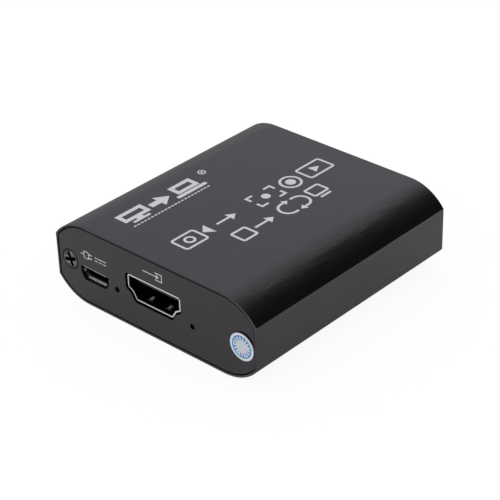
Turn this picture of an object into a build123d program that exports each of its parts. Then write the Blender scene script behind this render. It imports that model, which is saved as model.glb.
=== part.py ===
from build123d import *
import os

# Video capture box: an extruded case, an end plate screwed on at each end, and one circuit board that
# slides into grooves in the case. Millimetres, +Z up. The origin is the middle of the footprint, on the
# surface that the box stands on. The end with the power and input sockets looks along -Y, and the end
# with the output sockets along +Y.

# Case
case_width = 57.0
case_depth = 60.0
case_height = 19.0
side_flat_height = 10.0
shoulder_width = 9.0
case_wall = 1.5
rim_wall = 0.5
rim_break = 0.06
rib_reach = 1.6
rib_thickness = 0.9
boss_diameter = 4.5

# End plates
plate_thickness = 1.2
plate_recess = 0.06
plate_gap = 0.25
plate_break = 0.06
light_hole_diameter = 1.3

# Places across the front, from the side of the case that is on the left there
power_from_side = 11.4
left_light_from_side = 18.0
input_from_side = 28.6
right_light_from_side = 39.6

# Screws
screw_inset = 4.0
screw_thread = 2.5
screw_thread_gap = 0.05
screw_head = 4.7
screw_head_gap = 0.1
screw_length = 8.0
screw_point_length = 0.9
recess_length = 3.3
recess_width = 0.75
recess_depth = 0.8
front_screw_turns = (18, -25)
rear_screw_turns = (40, 5)

# Round seal over one front screw
seal_diameter = 6.2
seal_thickness = 0.05
seal_drop = 0.95

# Circuit board
board_boss_gap = 0.6
board_thickness = 1.6
board_side_gap = 0.5
board_end_gap = 0.35
board_slot_gap = 0.1
leg_slot_gap = 0.2

# Video sockets, one at each end
video_recess = 0.4
video_stand_off = 0.35
video_width = 15.0
video_height = 5.6
video_side_height = 3.15
video_step_width = 12.5
video_step_height = 1.75
video_foot_width = 10.3
video_corner = 0.6
video_wall = 0.4
video_length = 11.2
video_cavity_depth = 8.0
video_tail_depth = 12.0
video_opening_gap = 0.45
video_leg_width = 1.2
video_leg_depths = (3.6, 9.6)
insulator_gap = 0.03
tongue_width = 11.8
tongue_thickness = 0.95
tongue_height = 3.45
tongue_setback = 1.3
tongue_break = 0.2
contact_pitch = 1.0
contact_width = 0.3
contact_thickness = 0.2
contact_proud = 0.05
contact_setback = 0.6
contact_foot = 0.9
upper_contact_count = 10
lower_contact_count = 9

# Latch springs of the video and data sockets: fingers that lean into the socket
spring_thickness = 0.25
spring_root_depth = 6.2
spring_crest_depth = 2.8
spring_tip_depth = 1.35
spring_rise = 0.43
spring_tip_rise = 0.05
spring_width = 1.8
spring_side_gap = 0.2
spring_end_gap = 0.2
spring_root_gap = 0.08
video_lower_spring_across = 2.6
video_upper_spring_across = 3.4
data_spring_across = 3.0

# Power socket
power_recess = 0.65
power_width = 7.5
power_height = 2.3
power_side_height = 1.25
power_foot_width = 5.5
power_corner = 0.35
power_wall = 0.25
power_length = 5.6
power_cavity_depth = 4.2
power_flare_depth = 0.7
power_flare_side = 0.3
power_flare_top = 0.15
power_flare_foot = 0.42
power_opening_gap = 0.2
power_wing_reach = 0.8
power_wing_length = 1.1
power_wing_depths = (1.9, 4.6)
power_tongue_width = 4.0
power_tongue_thickness = 0.6
power_tongue_height = 1.05
power_tongue_setback = 0.9
power_contact_pitch = 0.65
power_contact_width = 0.25
power_contact_thickness = 0.12
power_contact_foot = 0.7
power_contact_count = 5

# Data socket
data_recess = 0.4
data_stand_off = 0.35
data_width = 13.2
data_height = 5.75
data_corner = 0.7
data_wall = 0.35
data_length = 13.6
data_cavity_depth = 9.6
data_tail_depth = 14.4
data_opening_gap = 0.35
data_leg_width = 1.8
data_leg_depths = (6.0,)
data_tongue_width = 11.1
data_tongue_thickness = 1.9
data_tongue_top_gap = 0.65
data_tongue_setback = 1.5
data_contact_width = 1.0
data_contact_thickness = 0.3
data_contact_proud = 0.1
data_contact_setback = 1.0
data_contact_places = (-3.5, -1.0, 1.0, 3.5)
data_pin_width = 0.6
data_pin_gap = 0.1

# Parts soldered to the board
leg_proud = 0.5
capture_chip_size = 9.0
splitter_chip_size = 7.5
chip_height = 0.9
chip_mark_diameter = 0.8
chip_mark_depth = 0.1
chip_mark_inset = 1.4
chip_break = 0.1
memory_length = 4.9
memory_width = 3.9
memory_height = 1.5
memory_lead_pitch = 1.27
memory_lead_width = 0.42
memory_lead_reach = 1.0
memory_lead_count = 4
regulator_length = 2.9
regulator_width = 1.6
regulator_height = 1.1
regulator_lead_pitch = 0.95
regulator_lead_width = 0.4
regulator_lead_reach = 0.6
regulator_lead_count = 3
lead_thickness = 0.2
body_lift = 0.1
crystal_length = 3.2
crystal_width = 2.5
crystal_height = 0.75
crystal_rim = 0.2
crystal_base_height = 0.3
inductor_size = 4.0
inductor_height = 2.1
inductor_flange = 0.45
inductor_waist = 0.35
inductor_corner = 0.6
bulk_length = 3.2
bulk_width = 1.6
bulk_height = 1.4
small_length = 1.6
small_width = 0.8
capacitor_height = 0.8
resistor_height = 0.45
surge_length = 2.5
surge_width = 1.0
surge_height = 0.5
surge_across = 2.4
surge_gap = 2.0
fuse_length = 4.5
fuse_width = 3.2
fuse_height = 1.0
end_cap_length = 0.3
end_cap_proud = 0.04
light_width = 2.4
light_height = 1.7
light_thickness = 1.0
light_setback = 0.3
light_lens_diameter = 1.1
light_lens_proud = 0.3
light_lens_round = 0.2

# Places on the board, as shares of half the width between the screw bosses and of half the board's length
capture_chip_shares = (-0.37, 0.02)
splitter_chip_shares = (0.35, -0.06)
memory_chip_shares = (-0.82, 0.06)
crystal_shares = ((-0.37, -0.26), (0.68, 0.04))
regulator_shares = ((-0.82, -0.3), (-0.5, -0.5), (0.62, -0.34))
inductor_shares = (-0.82, -0.5)
fuse_shares = (-0.82, 0.3)
bulk_shares = ((-0.62, -0.66), (-0.82, -0.66), (0.6, -0.5), (0.82, -0.3))
capacitor_shares = (
    (-0.46, 0.26), (-0.36, 0.26), (-0.26, 0.26), (-0.05, 0.1), (-0.05, 0), (-0.05, -0.1), (-0.56, -0.24),
    (-0.18, -0.24), (0.2, 0.16), (0.3, 0.16), (0.4, 0.16), (0.2, -0.28), (0.3, -0.28), (0.4, -0.28),
)
resistor_shares = (
    (-0.46, 0.32), (-0.36, 0.32), (-0.56, -0.3), (-0.18, -0.3), (0.06, 0.08), (0.06, 0), (0.06, -0.08),
    (0.66, -0.1), (0.66, -0.17), (0.66, 0.14), (0.84, 0.1), (0.84, 0.02), (0.84, -0.06),
)

# One overrun serves every cut
overrun = 1.0

# Worked out from the sizes above
front = -1
rear = 1
half_inside = case_width / 2 - case_wall
screw_height = case_height / 2
screw_spacing = case_width - 2 * screw_inset
bay_half_width = (screw_spacing - boss_diameter) / 2
plate_face = case_depth / 2 - plate_recess
seat_face = plate_face - plate_thickness
board_top = screw_height - boss_diameter / 2 - board_boss_gap
board_height = board_top - board_thickness
board_half_width = half_inside - board_side_gap
board_half_length = seat_face - board_end_gap
screw_head_height = (screw_head - screw_thread) / 2
thread_bore = screw_thread / 2 + screw_thread_gap
light_hole_height = board_top + light_height / 2
light_hole_left = left_light_from_side - case_width / 2
light_hole_right = right_light_from_side - case_width / 2
input_across = input_from_side - case_width / 2
power_across = power_from_side - case_width / 2
rear_gap = (2 * bay_half_width - video_width - data_width) / 3
loop_across = bay_half_width - rear_gap - video_width / 2
data_across = rear_gap + data_width / 2 - bay_half_width
tongue_top = tongue_height + tongue_thickness
data_tongue_height = data_height - data_wall - data_tongue_top_gap - data_tongue_thickness
leg_foot = board_thickness + leg_proud
board_surface = Plane.XY.offset(board_top)
on_board = (Align.CENTER, Align.CENTER, Align.MIN)


def end_plane(end, distance, across=0, height=0):
    """Plane that looks out of the front or rear, with x to the right as seen from there and y up."""
    return Plane((across, end * distance, height), x_dir=(-end, 0, 0), z_dir=(0, end, 0))


def side_view(mouth, across=0):
    """Plane that cuts a socket from front to back: x goes in from its mouth and y up."""
    return Plane(mouth.origin, x_dir=-mouth.z_dir, z_dir=mouth.x_dir).offset(across)


def keep(piece, name):
    """Label a finished piece and write its file."""
    piece.part.label = name
    export_step(piece.part, f"parts/{name}.step")


input_mouth = end_plane(front, case_depth / 2 - video_recess, input_across, board_top + video_stand_off)
loop_mouth = end_plane(rear, case_depth / 2 - video_recess, loop_across, board_top + video_stand_off)
power_mouth = end_plane(front, case_depth / 2 - power_recess, power_across, board_top)
data_mouth = end_plane(rear, case_depth / 2 - data_recess, data_across, board_top + data_stand_off)


# Outlines

def case_outline(plane, inset=0):
    """Section of the case, drawn in from its skin: four flats and four round shoulders."""
    half = case_width / 2
    low = (case_height - side_flat_height) / 2
    with BuildSketch(plane) as outline:
        with BuildLine():
            roof = Line((0, case_height), (half - shoulder_width, case_height))
            shoulder = TangentArc(roof @ 1, (half, case_height - low), tangent=roof % 1)
            side = Line(shoulder @ 1, (half, low))
            floor = Line((0, 0), (half - shoulder_width, 0))
            TangentArc(floor @ 1, side @ 1, tangent=floor % 1)
            mirror(about=Plane.YZ)
        make_face()
        if inset:
            offset(amount=-inset, kind=Kind.INTERSECTION)
    return outline.sketch


def socket_outline(plane, right_side, corner, grow):
    """Rounded outline from the points of its right side, foot first, and their mirror image."""
    left_side = [(-x, y) for x, y in reversed(right_side)]
    with BuildSketch(plane) as outline:
        with BuildLine():
            Polyline(*right_side, *left_side, close=True)
        make_face()
        fillet(outline.vertices(), corner)
        if grow:
            offset(amount=grow)
    return outline.sketch


def video_outline(plane, grow=0):
    """Section of a video socket, wide side up, from the middle of its foot."""
    right_side = [
        (video_foot_width / 2, 0),
        (video_step_width / 2, video_step_height),
        (video_width / 2, video_height - video_side_height),
        (video_width / 2, video_height),
    ]
    return socket_outline(plane, right_side, video_corner, grow)


def power_outline(plane, flared=False, grow=0):
    """Section of the power socket, wide side up, from the middle of its foot, at its mouth or behind it."""
    side, top, foot = (power_flare_side, power_flare_top, power_flare_foot) if flared else (0, 0, 0)
    right_side = [
        (power_foot_width / 2 + side, -foot),
        (power_width / 2 + side, power_height - power_side_height),
        (power_width / 2 + side, power_height + top),
    ]
    return socket_outline(plane, right_side, power_corner, grow)


def data_outline(plane, grow=0):
    """Section of the data socket, from the middle of its foot."""
    with BuildSketch(plane) as outline:
        with Locations((0, data_height / 2)):
            RectangleRounded(data_width, data_height, data_corner)
        if grow:
            offset(amount=grow)
    return outline.sketch


# Case: one length of extruded aluminium with screw bosses and board grooves inside

def make_sleeve():
    wall_middle = half_inside + case_wall / 2
    web_width = wall_middle - screw_spacing / 2
    rib_width = wall_middle - half_inside + rib_reach
    rib_middle = wall_middle - rib_width / 2
    upper_rib_height = screw_height - board_top - board_slot_gap
    boss_places = [(side * screw_spacing / 2, screw_height) for side in (-1, 1)]
    with BuildPart() as sleeve:
        extrude(case_outline(Plane.XZ), amount=case_depth / 2, both=True)
        for end in (front, rear):
            rim = sleeve.faces().filter_by(Axis.Y).sort_by(Axis.Y)[0 if end == front else -1]
            chamfer(rim.edges(), rim_break)
        bore = case_outline(Plane.XZ, case_wall)
        extrude(bore, amount=case_depth / 2 + overrun, both=True, mode=Mode.SUBTRACT)
        with BuildSketch(Plane.XZ):
            with Locations(*boss_places):
                Circle(boss_diameter / 2)
            for side in (-1, 1):
                with Locations((side * (wall_middle - web_width / 2), screw_height)):
                    Rectangle(web_width, boss_diameter)
                with Locations((side * rib_middle, board_height - board_slot_gap)):
                    Rectangle(rib_width, rib_thickness, align=(Align.CENTER, Align.MAX))
                with Locations((side * rib_middle, board_top + board_slot_gap)):
                    Rectangle(rib_width, upper_rib_height, align=(Align.CENTER, Align.MIN))
        extrude(amount=seat_face, both=True)
        for end in (front, rear):
            seat = case_outline(end_plane(end, seat_face), rim_wall)
            extrude(seat, amount=case_depth / 2 - seat_face + overrun, mode=Mode.SUBTRACT)
        with BuildSketch(Plane.XZ):
            with Locations(*boss_places):
                Circle(thread_bore)
        extrude(amount=case_depth / 2, both=True, mode=Mode.SUBTRACT)
    return sleeve


# End plates: flat aluminium, seated on the shoulder inside each end of the case

def make_end_plate(end, openings):
    face = end_plane(end, plate_face)
    with BuildPart() as plate:
        extrude(case_outline(face, rim_wall + plate_gap), amount=-plate_thickness)
        outer = plate.faces().filter_by(Axis.Y).sort_by(Axis.Y)[0 if end == front else -1]
        chamfer(outer.edges(), plate_break)
        for opening in openings:
            extrude(opening, amount=plate_thickness + overrun, both=True, mode=Mode.SUBTRACT)
        with Locations(face):
            with Locations((-screw_spacing / 2, screw_height), (screw_spacing / 2, screw_height)):
                CounterSinkHole(screw_thread / 2 + screw_head_gap, screw_head / 2 + screw_head_gap)
    return plate


def light_holes():
    with BuildSketch(end_plane(front, plate_face)) as holes:
        with Locations((light_hole_left, light_hole_height), (light_hole_right, light_hole_height)):
            Circle(light_hole_diameter / 2)
    return holes.sketch


# Screws: countersunk, with a cross recess, two for each end plate

def make_screws(end, turns):
    top = (Align.CENTER, Align.CENTER, Align.MAX)
    shank = screw_length - screw_point_length
    with BuildPart() as screws:
        for side, turn in zip((-1, 1), turns):
            axis = end_plane(end, plate_face, side * screw_spacing / 2, screw_height)
            with Locations(axis):
                Cone(screw_thread / 2, screw_head / 2, screw_head_height, align=top)
                Cylinder(screw_thread / 2, shank, align=top)
            with Locations(axis.offset(-shank)):
                Cone(screw_thread / 4, screw_thread / 2, screw_point_length, align=top)
            with BuildSketch(axis):
                Rectangle(recess_length, recess_width, rotation=turn)
                Rectangle(recess_width, recess_length, rotation=turn)
            extrude(amount=-recess_depth, mode=Mode.SUBTRACT)
    return screws


# Seal: a round printed film stuck over the right-hand front screw

def make_seal():
    with BuildPart() as seal:
        with BuildSketch(end_plane(front, plate_face)):
            with Locations((screw_spacing / 2, screw_height - seal_drop)):
                Circle(seal_diameter / 2)
        extrude(amount=seal_thickness)
    return seal


# Latch springs: fingers that lie in slots in a socket's floor or roof, bent up into the socket

def cut_spring_slots(mouth, across, wall_middle, wall):
    """Cut the pair of slots that the spring fingers lie in."""
    start = spring_tip_depth - spring_thickness / 2 - spring_end_gap
    end = spring_root_depth + spring_thickness / 2 + spring_root_gap
    for side in (-1, 1):
        with BuildSketch(side_view(mouth, side * across)) as slot:
            with Locations(((start + end) / 2, wall_middle)):
                Rectangle(end - start, 2 * wall)
        extrude(slot.sketch, amount=spring_width / 2 + spring_side_gap, both=True, mode=Mode.SUBTRACT)


def make_springs(mouth, across, wall_middle, lean):
    """A pair of fingers with round roots, leaning up out of a floor (1) or down from a roof (-1)."""
    with BuildPart() as springs:
        for side in (-1, 1):
            with BuildSketch(side_view(mouth, side * across)):
                with BuildLine():
                    Polyline(
                        (spring_root_depth, wall_middle),
                        (spring_crest_depth, wall_middle + lean * spring_rise),
                        (spring_tip_depth, wall_middle + lean * spring_tip_rise),
                    )
                    offset(amount=spring_thickness / 2)
                make_face()
            extrude(amount=spring_width / 2, both=True)
    return springs


# Sockets: a stamped steel shell, a moulded insulator with its tongue, and contact strips let into it

def add_legs(mouth, width, wall, depths, leg_width, top, stand_off):
    """Legs that run down a shell's sides and through the board."""
    for depth in depths:
        for side in (-1, 1):
            with BuildSketch(side_view(mouth, side * (width - wall) / 2)) as leg:
                with Locations((depth, -stand_off - leg_foot)):
                    Rectangle(leg_width, top + stand_off + leg_foot, align=(Align.CENTER, Align.MIN))
            extrude(leg.sketch, amount=wall / 2, both=True)


def make_video_shell(mouth):
    cavity = video_outline(mouth, -video_wall)
    with BuildPart() as shell:
        extrude(video_outline(mouth), amount=-video_length)
        extrude(cavity, amount=video_length + overrun, both=True, mode=Mode.SUBTRACT)
        cut_spring_slots(mouth, video_lower_spring_across, video_wall / 2, video_wall)
        cut_spring_slots(mouth, video_upper_spring_across, video_height - video_wall / 2, video_wall)
        add_legs(mouth, video_width, video_wall, video_leg_depths, video_leg_width,
                 video_height - video_side_height / 2, video_stand_off)
    return shell


def contact_strip(view, tip, back, low, thickness, foot, board):
    """Side view of a contact: level from its tip to its back, then down and out along the board."""
    with BuildSketch(view) as strip:
        with BuildLine():
            Polyline(
                (tip, low),
                (tip, low + thickness),
                (back + thickness, low + thickness),
                (back + thickness, board + thickness),
                (back + foot, board + thickness),
                (back + foot, board),
                (back, board),
                (back, low),
                close=True,
            )
        make_face()
    return strip.sketch


def contact_row(count, pitch):
    """Places across a socket of an evenly spaced row of contacts."""
    return [(index - (count - 1) / 2) * pitch for index in range(count)]


def make_video_contacts(mouth):
    tip = tongue_setback + contact_setback
    upper = tongue_top + contact_proud - contact_thickness
    lower = tongue_height - contact_proud
    with BuildPart() as contacts:
        for count, low in ((upper_contact_count, upper), (lower_contact_count, lower)):
            for across in contact_row(count, contact_pitch):
                strip = contact_strip(side_view(mouth, across), tip, video_tail_depth, low,
                                      contact_thickness, contact_foot, -video_stand_off)
                extrude(strip, amount=contact_width / 2, both=True)
    return contacts


def make_video_insulator(mouth, contacts):
    back = mouth.offset(-video_cavity_depth)
    tail_length = video_tail_depth - video_length - insulator_gap
    tail_height = video_height - video_wall + video_stand_off
    with BuildPart() as insulator:
        core = video_outline(back, -video_wall - insulator_gap)
        extrude(core, amount=video_cavity_depth - video_tail_depth)
        with BuildSketch(side_view(mouth)):
            with Locations((video_tail_depth, -video_stand_off)):
                Rectangle(tail_length, tail_height, align=(Align.MAX, Align.MIN))
        extrude(amount=video_width / 2 - video_wall, both=True)
        with BuildSketch(back):
            with Locations((0, tongue_height)):
                Rectangle(tongue_width, tongue_thickness, align=(Align.CENTER, Align.MIN))
        extrude(amount=video_cavity_depth - tongue_setback)
        nose = insulator.faces().sort_by(Axis(mouth.origin, mouth.z_dir))[-1]
        chamfer(nose.edges(), tongue_break)
        add(contacts.part, mode=Mode.SUBTRACT)
    return insulator


def make_power_shell(mouth):
    throat = mouth.offset(-power_flare_depth)
    behind = power_length - power_flare_depth
    mouth_cavity = power_outline(mouth, flared=True, grow=-power_wall)
    throat_cavity = power_outline(throat, grow=-power_wall)
    inner = (power_foot_width - power_wall) / 2
    outer = power_width / 2 + power_wing_reach
    with BuildPart() as shell:
        extrude(power_outline(throat), amount=-behind)
        loft([power_outline(mouth, flared=True), power_outline(throat)], ruled=True)
        extrude(throat_cavity, amount=-behind - overrun, mode=Mode.SUBTRACT)
        loft([mouth_cavity, throat_cavity], ruled=True, mode=Mode.SUBTRACT)
        for depth in power_wing_depths:
            for side in (-1, 1):
                with BuildSketch(mouth.offset(-depth)):
                    with Locations((side * (inner + outer) / 2, power_wall / 2)):
                        Rectangle(outer - inner, power_wall)
                extrude(amount=power_wing_length / 2, both=True)
    return shell


def make_power_contacts(mouth):
    tip = power_tongue_setback + power_contact_width
    low = power_tongue_height + power_tongue_thickness - power_contact_thickness
    with BuildPart() as contacts:
        for across in contact_row(power_contact_count, power_contact_pitch):
            strip = contact_strip(side_view(mouth, across), tip, power_length, low,
                                  power_contact_thickness, power_contact_foot, 0)
            extrude(strip, amount=power_contact_width / 2, both=True)
    return contacts


def make_power_insulator(mouth, contacts):
    back = mouth.offset(-power_cavity_depth)
    with BuildPart() as insulator:
        outline = power_outline(back, grow=-power_wall - insulator_gap)
        extrude(outline, amount=power_cavity_depth - power_length)
        with BuildSketch(back):
            with Locations((0, power_tongue_height)):
                Rectangle(power_tongue_width, power_tongue_thickness, align=(Align.CENTER, Align.MIN))
        extrude(amount=power_cavity_depth - power_tongue_setback)
        add(contacts.part, mode=Mode.SUBTRACT)
    return insulator


def make_data_shell(mouth):
    cavity = data_outline(mouth, -data_wall)
    with BuildPart() as shell:
        extrude(data_outline(mouth), amount=-data_length)
        extrude(cavity, amount=data_length + overrun, both=True, mode=Mode.SUBTRACT)
        cut_spring_slots(mouth, data_spring_across, data_wall / 2, data_wall)
        cut_spring_slots(mouth, data_spring_across, data_height - data_wall / 2, data_wall)
        add_legs(mouth, data_width, data_wall, data_leg_depths, data_leg_width,
                 data_height / 2, data_stand_off)
    return shell


def make_data_contacts(mouth):
    corner = (Align.MIN, Align.MIN)
    tip = data_tongue_setback + data_contact_setback
    low = data_tongue_height - data_contact_proud
    foot = -data_stand_off - leg_foot
    strip_length = data_tail_depth + data_contact_thickness - tip
    pin_length = low + data_contact_thickness - foot
    with BuildPart() as contacts:
        for across in data_contact_places:
            with BuildSketch(side_view(mouth, across)):
                with Locations((tip, low)):
                    Rectangle(strip_length, data_contact_thickness, align=corner)
            extrude(amount=data_contact_width / 2, both=True)
            with BuildSketch(side_view(mouth, across)):
                with Locations((data_tail_depth, foot)):
                    Rectangle(data_contact_thickness, pin_length, align=corner)
            extrude(amount=data_pin_width / 2, both=True)
    return contacts


def make_data_insulator(mouth, contacts):
    back = mouth.offset(-data_cavity_depth)
    tail_length = data_tail_depth - data_length - insulator_gap
    tail_height = data_height - data_wall + data_stand_off
    with BuildPart() as insulator:
        core = data_outline(back, -data_wall - insulator_gap)
        extrude(core, amount=data_cavity_depth - data_tail_depth)
        with BuildSketch(side_view(mouth)):
            with Locations((data_tail_depth, -data_stand_off)):
                Rectangle(tail_length, tail_height, align=(Align.MAX, Align.MIN))
        extrude(amount=data_width / 2 - data_wall, both=True)
        with BuildSketch(back):
            with Locations((0, data_tongue_height)):
                Rectangle(data_tongue_width, data_tongue_thickness, align=(Align.CENTER, Align.MIN))
        extrude(amount=data_cavity_depth - data_tongue_setback)
        nose = insulator.faces().sort_by(Axis(mouth.origin, mouth.z_dir))[-1]
        chamfer(nose.edges(), tongue_break)
        add(contacts.part, mode=Mode.SUBTRACT)
    return insulator


# Circuit board, with slots for the sockets' legs and holes for the data socket's pins

def board_point(mouth, across, depth):
    """Place on the board under a point of a socket."""
    point = mouth.from_local_coords((across, 0, -depth))
    return point.X, point.Y


def leg_points(mouth, width, wall, depths):
    return [board_point(mouth, side * (width - wall) / 2, depth) for depth in depths for side in (-1, 1)]


def make_board():
    video_slot = video_wall + 2 * leg_slot_gap, video_leg_width + 2 * leg_slot_gap
    data_slot = data_wall + 2 * leg_slot_gap, data_leg_width + 2 * leg_slot_gap
    pin_depth = data_tail_depth + data_contact_thickness / 2
    with BuildPart() as board:
        with BuildSketch(Plane.XY.offset(board_height)):
            Rectangle(2 * board_half_width, 2 * board_half_length)
            for mouth in (input_mouth, loop_mouth):
                with Locations(*leg_points(mouth, video_width, video_wall, video_leg_depths)):
                    Rectangle(*video_slot, mode=Mode.SUBTRACT)
            with Locations(*leg_points(data_mouth, data_width, data_wall, data_leg_depths)):
                Rectangle(*data_slot, mode=Mode.SUBTRACT)
            with Locations(*[board_point(data_mouth, across, pin_depth) for across in data_contact_places]):
                Circle(data_pin_width / 2 + data_pin_gap, mode=Mode.SUBTRACT)
        extrude(amount=board_thickness)
    return board


# Parts soldered to the board

def board_places(table):
    return [(across * bay_half_width, along * board_half_length) for across, along in table]


def surge_points():
    """A pair of places behind each video socket's contacts."""
    depth = video_tail_depth + contact_foot + surge_gap + surge_width / 2
    return [board_point(mouth, side * surge_across, depth)
            for mouth in (input_mouth, loop_mouth) for side in (-1, 1)]


def make_chip(size, shares):
    [(x, y)] = board_places([shares])
    with BuildPart() as chip:
        with BuildSketch(board_surface):
            with Locations((x, y)):
                Rectangle(size, size)
        extrude(amount=chip_height)
        chamfer(chip.faces().sort_by(Axis.Z)[-1].edges(), chip_break)
        with BuildSketch(board_surface.offset(chip_height)):
            with Locations((x - size / 2 + chip_mark_inset, y + size / 2 - chip_mark_inset)):
                Circle(chip_mark_diameter / 2)
        extrude(amount=-chip_mark_depth, mode=Mode.SUBTRACT)
    return chip


def lead_bridge(plane, width, reach, level):
    """End view of a pair of bent leads that meet inside a body of this width."""
    toe = width / 2 + reach
    heel = width / 2 + reach / 2
    right_side = [
        (heel - lead_thickness, level),
        (heel - lead_thickness, 0),
        (toe, 0),
        (toe, lead_thickness),
        (heel, lead_thickness),
        (heel, level + lead_thickness),
    ]
    left_side = [(-x, y) for x, y in reversed(right_side)]
    with BuildSketch(plane) as bridge:
        with BuildLine():
            Polyline(*right_side, *left_side, close=True)
        make_face()
    return bridge.sketch


def make_leaded(length, width, height, reach, pitch, lead_width, lead_count, places):
    """Moulded bodies with bent leads along both long sides. The leads run along X."""
    with BuildPart() as bodies:
        for x, y in places:
            with BuildSketch(board_surface.offset(body_lift)):
                with Locations((x, y)):
                    Rectangle(width, length)
            extrude(amount=height - body_lift)
            for along in contact_row(lead_count, pitch):
                lead = Plane((x, y + along, board_top), x_dir=(1, 0, 0), z_dir=(0, -1, 0))
                bridge = lead_bridge(lead, width, reach, (height - lead_thickness) / 2)
                extrude(bridge, amount=lead_width / 2, both=True)
    return bodies


def make_crystals():
    can_length = crystal_length - 2 * crystal_rim
    can_width = crystal_width - 2 * crystal_rim
    with BuildPart() as crystals:
        with Locations(board_surface):
            with Locations(*board_places(crystal_shares)):
                Box(crystal_length, crystal_width, crystal_base_height, align=on_board)
                Box(can_length, can_width, crystal_height, align=on_board)
    return crystals


def make_inductor():
    [(x, y)] = board_places([inductor_shares])
    with BuildPart() as inductor:
        for level in (0, inductor_height - inductor_flange):
            with BuildSketch(board_surface.offset(level)):
                with Locations((x, y)):
                    RectangleRounded(inductor_size, inductor_size, inductor_corner)
            extrude(amount=inductor_flange)
        with BuildSketch(board_surface):
            with Locations((x, y)):
                Circle(inductor_size / 2 - inductor_waist)
        extrude(amount=inductor_height)
    return inductor


def make_two_ended(length, width, height, places):
    """Small ceramic parts: a body with a slightly larger metal cap on each end."""
    cap_spacing = length - end_cap_length
    body_width = width - 2 * end_cap_proud
    with BuildPart() as parts:
        with Locations(board_surface):
            with Locations(*places):
                Box(cap_spacing, body_width, height - end_cap_proud, align=on_board)
                with Locations((-cap_spacing / 2, 0), (cap_spacing / 2, 0)):
                    Box(end_cap_length, width, height, align=on_board)
    return parts


def make_light(across):
    """A lamp at the board's front edge that shines out through its hole in the front plate."""
    face = end_plane(front, board_half_length - light_setback, across, light_hole_height)
    with BuildPart() as light:
        with BuildSketch(face):
            Rectangle(light_width, light_height)
        extrude(amount=-light_thickness)
        with BuildSketch(face):
            Circle(light_lens_diameter / 2)
        extrude(amount=light_lens_proud)
        nose = light.faces().sort_by(Axis.Y)[0]
        fillet(nose.edges(), light_lens_round)
    return light


# Make and keep every piece

os.makedirs("parts", exist_ok=True)

input_opening = video_outline(input_mouth, video_opening_gap)
loop_opening = video_outline(loop_mouth, video_opening_gap)
power_opening = power_outline(power_mouth, flared=True, grow=power_opening_gap)
data_opening = data_outline(data_mouth, data_opening_gap)

keep(make_sleeve(), "housing_sleeve")
keep(make_end_plate(front, [input_opening, power_opening, light_holes()]), "front_plate")
keep(make_end_plate(rear, [loop_opening, data_opening]), "rear_plate")
keep(make_screws(front, front_screw_turns), "front_screws")
keep(make_screws(rear, rear_screw_turns), "rear_screws")
keep(make_seal(), "seal_sticker")
keep(make_board(), "circuit_board")

for name, mouth in (("input", input_mouth), ("loop", loop_mouth)):
    contacts = make_video_contacts(mouth)
    keep(make_video_shell(mouth), f"{name}_shell")
    keep(make_video_insulator(mouth, contacts), f"{name}_insulator")
    keep(contacts, f"{name}_contacts")
    keep(make_springs(mouth, video_lower_spring_across, video_wall / 2, 1), f"{name}_lower_springs")
    roof_middle = video_height - video_wall / 2
    keep(make_springs(mouth, video_upper_spring_across, roof_middle, -1), f"{name}_upper_springs")

power_contacts = make_power_contacts(power_mouth)
keep(make_power_shell(power_mouth), "power_shell")
keep(make_power_insulator(power_mouth, power_contacts), "power_insulator")
keep(power_contacts, "power_contacts")

data_contacts = make_data_contacts(data_mouth)
keep(make_data_shell(data_mouth), "data_shell")
keep(make_data_insulator(data_mouth, data_contacts), "data_insulator")
keep(data_contacts, "data_contacts")
keep(make_springs(data_mouth, data_spring_across, data_wall / 2, 1), "data_lower_springs")
keep(make_springs(data_mouth, data_spring_across, data_height - data_wall / 2, -1), "data_upper_springs")

keep(make_chip(capture_chip_size, capture_chip_shares), "capture_chip")
keep(make_chip(splitter_chip_size, splitter_chip_shares), "splitter_chip")
keep(make_leaded(memory_length, memory_width, memory_height, memory_lead_reach, memory_lead_pitch,
                 memory_lead_width, memory_lead_count, board_places([memory_chip_shares])), "memory_chip")
keep(make_leaded(regulator_length, regulator_width, regulator_height, regulator_lead_reach,
                 regulator_lead_pitch, regulator_lead_width, regulator_lead_count,
                 board_places(regulator_shares)), "voltage_regulators")
keep(make_crystals(), "clock_crystals")
keep(make_inductor(), "power_inductor")
keep(make_two_ended(fuse_length, fuse_width, fuse_height, board_places([fuse_shares])), "power_fuse")
keep(make_two_ended(bulk_length, bulk_width, bulk_height, board_places(bulk_shares)), "bulk_capacitors")
keep(make_two_ended(small_length, small_width, capacitor_height, board_places(capacitor_shares)),
     "small_capacitors")
keep(make_two_ended(small_length, small_width, resistor_height, board_places(resistor_shares)), "resistors")
keep(make_two_ended(surge_length, surge_width, surge_height, surge_points()), "surge_protectors")
keep(make_light(light_hole_left), "power_light")
keep(make_light(light_hole_right), "signal_light")
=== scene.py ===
import math

import bmesh
import bpy
from mathutils import Euler, Matrix, Vector


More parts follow.
